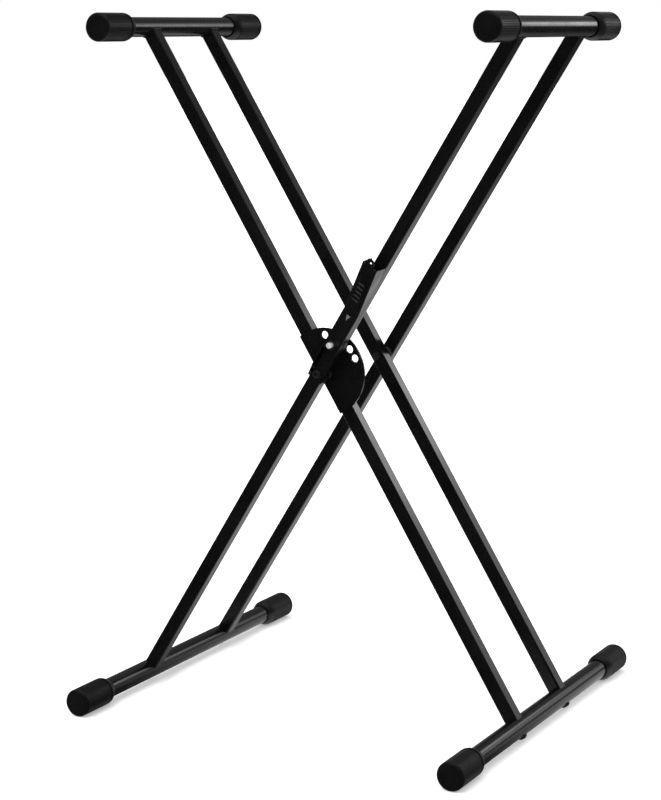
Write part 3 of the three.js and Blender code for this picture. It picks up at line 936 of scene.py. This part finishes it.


# The wire's section is swept along a screw inside the leg.
def modelSpring():
    low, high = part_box("lock_spring")
    wire, turns, radius = springShape["wire"], springShape["turns"], springShape["radius"]
    steps = springShape["stepsPerTurn"] * turns
    freshStart()
    bpy.ops.mesh.primitive_circle_add(vertices=12, radius=wire, location=(radius, low.y + wire, 0))
    spring = bpy.context.object
    spring.name = "lock_spring_coil"
    bake()
    modify(spring, "SCREW", axis="Y", angle=2 * pi * turns, steps=steps, render_steps=steps,
           screw_offset=high.y - low.y - 2 * wire, use_normal_calculate=True)
    pick(spring)
    bpy.ops.object.mode_set(mode="EDIT")
    bpy.ops.mesh.select_all(action="SELECT")
    bpy.ops.mesh.fill_holes(sides=0)
    bpy.ops.mesh.normals_make_consistent(inside=False)
    bpy.ops.object.mode_set(mode="OBJECT")
    placeOnPin(spring, 50)
    finishPiece(spring, "outer_frame", "zinc", zinc, "lock_spring")
    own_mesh(spring)


modelLockPin()
modelClip()
modelWasher("pin_washer_turned", "pin_washer", 4.2 * mm, 6.5 * mm, "pin", "black_steel", oxide,
            lockRadius)
modelSpring()
print("lock pin ready")


boltShape = {"domeSteps": 8, "domeStart": 8, "domeEnd": 82, "tipEdge": 0.5 * mm, "headEdge": 0.3 * mm,
             "edge": 0.12 * mm}
pivotShape = {"shank": 3 * mm, "head": 6.5 * mm, "rise": 4 * mm, "socket": 2.3 * mm,
              "socketDepth": 2.2 * mm}


# Button-head bolt drawn along +Y: the shank's end at tailY, the underside of the head at headY.
def modelButtonBolt(name, tailY, headY, shape):
    shank, head, topY = shape["shank"], shape["head"], headY + shape["rise"]
    tip, rim = boltShape["tipEdge"], boltShape["headEdge"]
    dome, turn = [], boltShape["domeEnd"] - boltShape["domeStart"]
    for k in range(1, boltShape["domeSteps"] + 1):
        angle = radians(boltShape["domeStart"] + turn * k / boltShape["domeSteps"])
        dome.append((head * cos(angle), headY + shape["rise"] * sin(angle)))
    stations = [(shank - tip, tailY), (shank, tailY + tip), (shank, headY), (head - rim, headY),
                (head, headY + rim)] + dome + [(dome[-1][0] / 2, topY)]
    bolt = turnPiece(name, stations, 64)
    freshStart()
    bpy.ops.mesh.primitive_cylinder_add(
        vertices=6, radius=shape["socket"], depth=2 * shape["socketDepth"], location=(0, topY, 0),
        rotation=(pi / 2, 0, 0))
    socket = bpy.context.object
    bake()
    boolean(bolt, socket)
    softenEdges(bolt, boltShape["edge"], 2, 45)
    return smooth(bolt, 35)


# Copies a finished master to the front, turned round, and to the rear.
def placeEnds(master, pieceName, nodeName):
    for end, turn in (("front", pi), ("rear", 0)):
        piece = copyPiece(master, f"{pieceName}_{end}", (0, 0, 0), (0, 0, turn))
        leanPiece(piece, 1)
        finishPiece(piece, "outer_frame", "black_steel", oxide, f"{nodeName}_{end}")
    discard(master)


def placePivotBolts():
    low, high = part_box("pivot_bolt_rear")
    master = modelButtonBolt("pivot_master", low.y, high.y - pivotShape["rise"], pivotShape)
    placeEnds(master, "pivot_bolt_button", "pivot_bolt")


nutShape = {"corner": 5.6 * mm, "hexShare": 0.8, "chamfer": 4.7 * mm, "chamferOut": 6.2 * mm,
            "chamferShare": 0.55, "chamferPast": 1 * mm, "collar": 4.4 * mm, "collarTop": 3.9 * mm,
            "collarEdge": 0.5 * mm, "bore": 3.1 * mm, "edge": 0.12 * mm}


# Hexagon lock nut: corners chamfered, with the nylon collar standing at one end.
def placePivotNuts():
    shape = nutShape
    low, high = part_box("pivot_nut_rear")
    thick = high.y - low.y
    hexThick = thick * shape["hexShare"]
    freshStart()
    bpy.ops.mesh.primitive_cylinder_add(vertices=6, radius=shape["corner"], depth=hexThick,
                                        location=(0, high.y - hexThick / 2, 0), rotation=(pi / 2, 0, 0))
    nut = bpy.context.object
    bake()
    outer = shape["chamferOut"]
    boolean(nut, turnPiece("nut_chamfer", [
        (shape["chamfer"], high.y - hexThick), (outer, high.y - thick * shape["chamferShare"]),
        (outer, high.y + shape["chamferPast"])]), "INTERSECT")
    boolean(nut, turnPiece("nut_collar", [
        (shape["collarTop"], low.y), (shape["collar"], low.y + shape["collarEdge"]),
        (shape["collar"], high.y - thick / 2)]), "UNION")
    boolean(nut, rod(shape["bore"], 4 * thick, (0, high.y, 0)))
    softenEdges(nut, shape["edge"], 2, 40)
    placeEnds(smooth(nut, 35), "pivot_nut_hex", "pivot_nut")


placePivotBolts()
placePivotNuts()
for end in ("front", "rear"):
    modelWasher(f"pivot_washer_turned_{end}", f"pivot_washer_{end}", 3.2 * mm, 6.5 * mm,
                "outer_frame", "black_steel", oxide)
    modelWasher(f"pivot_spacer_turned_{end}", f"pivot_spacer_{end}", 3.2 * mm, 11 * mm,
                "outer_frame", "nylon", nylon)
print("pivots ready")


def placeLeverRivets():
    shape = leverRivet
    inside, outside = tubeSide / 2 - shape["standIn"], leverShape["width"] / 2 + shape["standOut"]
    shank, head, rise, collar = shape["shank"], shape["head"], shape["rise"], shape["collar"]
    deep = inside - shape["collarThick"]
    dome = [(head * cos(radians(15 * k)), outside + rise * sin(radians(15 * k))) for k in range(6)]
    stations = [(shank, deep), (collar, deep + shape["collarEdge"]), (collar, inside), (shank, inside),
                (shank, outside)] + dome
    master = turnPiece("rivet_master", stations, 48)
    smooth(master, 35)
    hinge = leverPoint(leverHinge["s"], leverHinge["d"])
    for name, turn in (("right", -pi / 2), ("left", pi / 2)):
        rivet = copyPiece(master, f"lever_rivet_domed_{name}", hinge, (0, 0, turn))
        leanPiece(rivet, 1)
        finishPiece(rivet, "outer_frame", "black_steel", oxide, f"lever_rivet_{name}")
    discard(master)


placeLeverRivets()
print("rivets ready")


footShape = {"shank": 3 * mm, "head": 5.5 * mm, "rise": 2 * mm, "under": 15.5 * mm, "tip": 32 * mm,
             "socket": 2 * mm, "socketDepth": 1.2 * mm, "saddle": 7 * mm, "saddleTop": 15.2 * mm,
             "saddleHole": 3.2 * mm, "saddleEdge": 0.2 * mm}


def modelSaddle():
    shape = footShape
    saddle = rod(shape["saddle"], shape["saddleTop"], (0, 0, -shape["saddleTop"] / 2), "Z", 64)
    boolean(saddle, rod(barRadius + gap, 4 * shape["saddle"], (0, 0, 0), "Y", 96))
    boolean(saddle, rod(shape["saddleHole"], 4 * shape["saddleTop"], (0, 0, 0), "Z"))
    softenEdges(saddle, shape["saddleEdge"], 2, 40)
    return smooth(saddle, 35)


# A bolt and its saddle washer under each end of the foot bars, pointing up the leg.
def placeFootJoints():
    shape = footShape
    bolt = modelButtonBolt("foot_bolt_master", -shape["tip"], shape["under"], shape)
    saddle = modelSaddle()
    for side, y, name in ((-1, innerY, "right"), (1, outerY, "left")):
        for end, sign in (("front", -1), ("rear", 1)):
            place = (0, sign * y, -legReach)
            piece = copyPiece(bolt, f"foot_bolt_button_{name}_{end}", place, (-pi / 2, 0, 0))
            leanPiece(piece, side)
            finishPiece(piece, bodyOfSide[side], "black_steel", oxide, f"foot_bolt_{name}_{end}")
            pad = copyPiece(saddle, f"foot_saddle_formed_{name}_{end}", place)
            leanPiece(pad, side)
            finishPiece(pad, bodyOfSide[side], "black_steel", oxide, f"foot_saddle_{name}_{end}")
    discard(bolt)
    discard(saddle)


placeFootJoints()
print("foot joints ready")


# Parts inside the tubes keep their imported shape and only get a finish.
def dressNode(node, material):
    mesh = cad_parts[node].data
    mesh.materials.clear()
    mesh.materials.append(material)


for end in ("front", "rear"):
    dressNode(f"pivot_sleeve_{end}", zinc)
    for side in ("right", "left"):
        dressNode(f"foot_plug_{side}_{end}", zinc)
dressNode("pin_bush", oxide)
print("inner pieces dressed")


studio = {
    "floorColour": (0.88, 0.88, 0.88, 1),
    "floorSize": 60.0,
    "sunStrength": 2.1,
    "sunSpread": radians(70),
    "sunTurn": (radians(22), radians(-14), 0),
    "ambient": 0.95,
    "roomDark": 0.012,        # what gloss finds in front of the stand and to its left
    "sweepGlow": 0.12,        # the sweep behind the stand, away from the softbox
    "softboxPlace": (1.04, 2.04, 1.32),
    "softboxSize": (0.50, 0.55),
    "softboxPower": 1.9,
    "fillGlow": 0.9,          # broad soft light low on the right, behind
    "fillX": (0.10, 0.38, 0.50, 0.66),
    "fillZ": (0.10, 0.24, 0.30, 0.46),
    "ceilingGlow": 0.35,
    "ceilingZ": (0.60, 0.95),
    "sweepY": (0.05, 0.60),
    "floorGlow": 0.72,        # how bright gloss finds the floor behind the stand
    "floorNear": (-0.25, 0.30),
    "floorFar": (1.1, 2.1),
    "floorFarShare": 0.10,
    "floorLeft": (-1.3, 0.0),
    "floorLeftShare": 0.25,
    "floorRight": (0.40, 1.0),
    "floorRightShare": 0.15,
    "floorLift": 0.30,        # keeps the contact shadows pale
}


# The floor is a plain matt white; only gloss sees it fade to dark towards the front and the left.
def addFloor():
    freshStart()
    bpy.ops.mesh.primitive_plane_add(size=studio["floorSize"], location=(0, 0, 0))
    floor = bpy.context.object
    floor.name = "studio_floor"
    material = bpy.data.materials.new("pale_floor")
    material.use_nodes = True
    tree = material.node_tree
    nodes = tree.nodes
    shader = nodes["Principled BSDF"]
    for socket, value in (("Base Color", studio["floorColour"]), ("Roughness", 0.9),
                          ("Specular IOR Level", 0.0), ("Emission Color", (1, 1, 1, 1)),
                          ("Emission Strength", studio["floorLift"])):
        shader.inputs[socket].default_value = value
    place = nodes.new("ShaderNodeTexCoord").outputs["Object"]
    x, y, _ = fillNode(tree, "ShaderNodeSeparateXYZ", {"Vector": place}).outputs
    share = rangeOutput(tree, y, studio["floorNear"], 0.0, 1.0)
    for axis, span, low, high in ((y, studio["floorFar"], 1.0, studio["floorFarShare"]),
                                  (x, studio["floorLeft"], studio["floorLeftShare"], 1.0),
                                  (x, studio["floorRight"], 1.0, studio["floorRightShare"])):
        share = mathOutput(tree, "MULTIPLY", share, rangeOutput(tree, axis, span, low, high))
    glow = mathOutput(tree, "MULTIPLY", share, studio["floorGlow"])
    strength = mathOutput(tree, "ADD", glow, studio["roomDark"])
    sheen = fillNode(tree, "ShaderNodeEmission", {"Strength": strength})
    isGlossy = nodes.new("ShaderNodeLightPath").outputs["Is Glossy Ray"]
    blend = fillNode(tree, "ShaderNodeMixShader", {
        0: isGlossy, 1: shader.outputs["BSDF"], 2: sheen.outputs["Emission"]})
    tree.links.new(blend.outputs["Shader"], nodes["Material Output"].inputs["Surface"])
    floor.data.materials.append(material)


def addSun():
    bpy.ops.object.light_add(type="SUN", rotation=studio["sunTurn"])
    lamp = bpy.context.object
    lamp.name = "overhead_sun"
    lamp.data.energy = studio["sunStrength"]
    lamp.data.angle = studio["sunSpread"]
    lamp.visible_glossy = False


def addSoftbox():
    bpy.ops.object.light_add(type="AREA", location=studio["softboxPlace"])
    lamp = bpy.context.object
    lamp.name = "rear_softbox"
    lamp.data.shape = "RECTANGLE"
    lamp.data.size, lamp.data.size_y = studio["softboxSize"]
    lamp.data.energy = studio["softboxPower"]
    lamp.rotation_euler = (pivot - Vector(studio["softboxPlace"])).to_track_quat("-Z", "Y").to_euler()
    lamp.visible_camera = False
    lamp.visible_diffuse = False


# Surroundings: white to the eye and for soft light. Gloss finds a dim sweep behind the stand, a
# broad light low on the right and a pale ceiling, and a dark room in front.
def addWorld():
    world = bpy.data.worlds.new("studio_world")
    bpy.context.scene.world = world
    world.use_nodes = True
    tree = world.node_tree
    paths = tree.nodes.new("ShaderNodeLightPath").outputs
    isGlossy, isCamera = paths["Is Glossy Ray"], paths["Is Camera Ray"]
    direction = tree.nodes.new("ShaderNodeTexCoord").outputs["Generated"]
    x, y, z = fillNode(tree, "ShaderNodeSeparateXYZ", {"Vector": direction}).outputs
    deep = rangeOutput(tree, y, studio["sweepY"], 0.0, 1.0)
    sweep = mathOutput(tree, "MULTIPLY", deep, studio["sweepGlow"])
    window = deep
    for axis, edges in ((x, studio["fillX"]), (z, studio["fillZ"])):
        rise = rangeOutput(tree, axis, edges[:2], 0.0, 1.0)
        fall = rangeOutput(tree, axis, edges[2:], 1.0, 0.0)
        window = mathOutput(tree, "MULTIPLY", window, mathOutput(tree, "MULTIPLY", rise, fall))
    window = mathOutput(tree, "MULTIPLY", window, studio["fillGlow"])
    ceiling = rangeOutput(tree, z, studio["ceilingZ"], studio["roomDark"], studio["ceilingGlow"])
    glow = mathOutput(tree, "ADD", mathOutput(tree, "ADD", sweep, window), ceiling)
    seen = mathOutput(tree, "MAXIMUM", isGlossy, isCamera)
    soft = mathOutput(tree, "MULTIPLY", mathOutput(tree, "SUBTRACT", 1.0, seen), studio["ambient"])
    plain = mathOutput(tree, "ADD", isCamera, soft)
    strength = mathOutput(tree, "ADD", mathOutput(tree, "MULTIPLY", isGlossy, glow), plain)
    background = tree.nodes["Background"].inputs
    background["Color"].default_value = (1, 1, 1, 1)
    tree.links.new(strength, background["Strength"])


addFloor()
addSun()
addSoftbox()
addWorld()
bpy.context.scene.view_settings.view_transform = "Standard"
print("studio ready")
